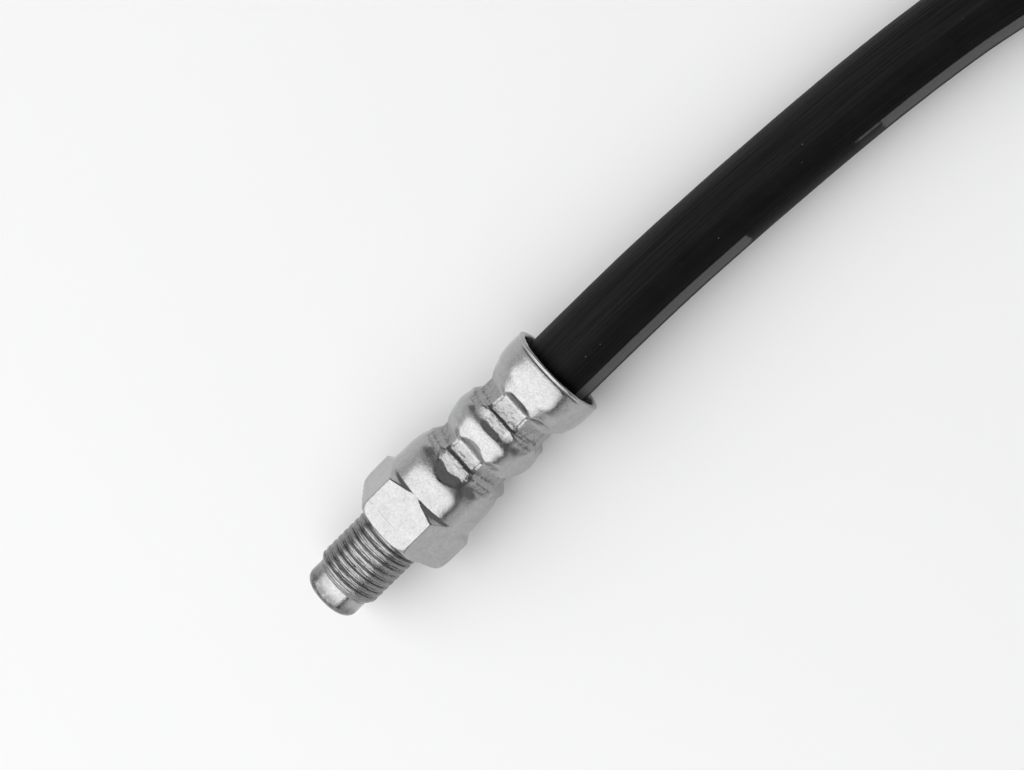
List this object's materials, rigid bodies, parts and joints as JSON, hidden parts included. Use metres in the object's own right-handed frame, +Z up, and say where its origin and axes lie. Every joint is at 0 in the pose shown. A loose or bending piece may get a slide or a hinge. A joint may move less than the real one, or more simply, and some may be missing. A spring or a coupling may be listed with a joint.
{
  "type": "brake hose",
  "caption": "Flexible hydraulic brake hose: a rubber hose lying in a wide loop, with a crimped steel fitting with hexagon and male thread on each end.",
  "frame": {"origin": "on the surface the hose lies on, below the middle of the near fitting", "axes": "+X along the near fitting from its nose to the hose, +Z up from the surface"},
  "size_m": [0.1706, 0.1264, 0.014],
  "materials": {
    "zinc_plate": "satin zinc plate",
    "bare_steel": "turned",
    "hose_rubber": "matt, finely ribbed"
  },
  "bodies": {
    "root": {"near_fitting": "zinc_plate", "near_insert": "bare_steel", "hose": "hose_rubber", "far_fitting": "zinc_plate", "far_insert": "bare_steel"}
  },
  "joints": []
}
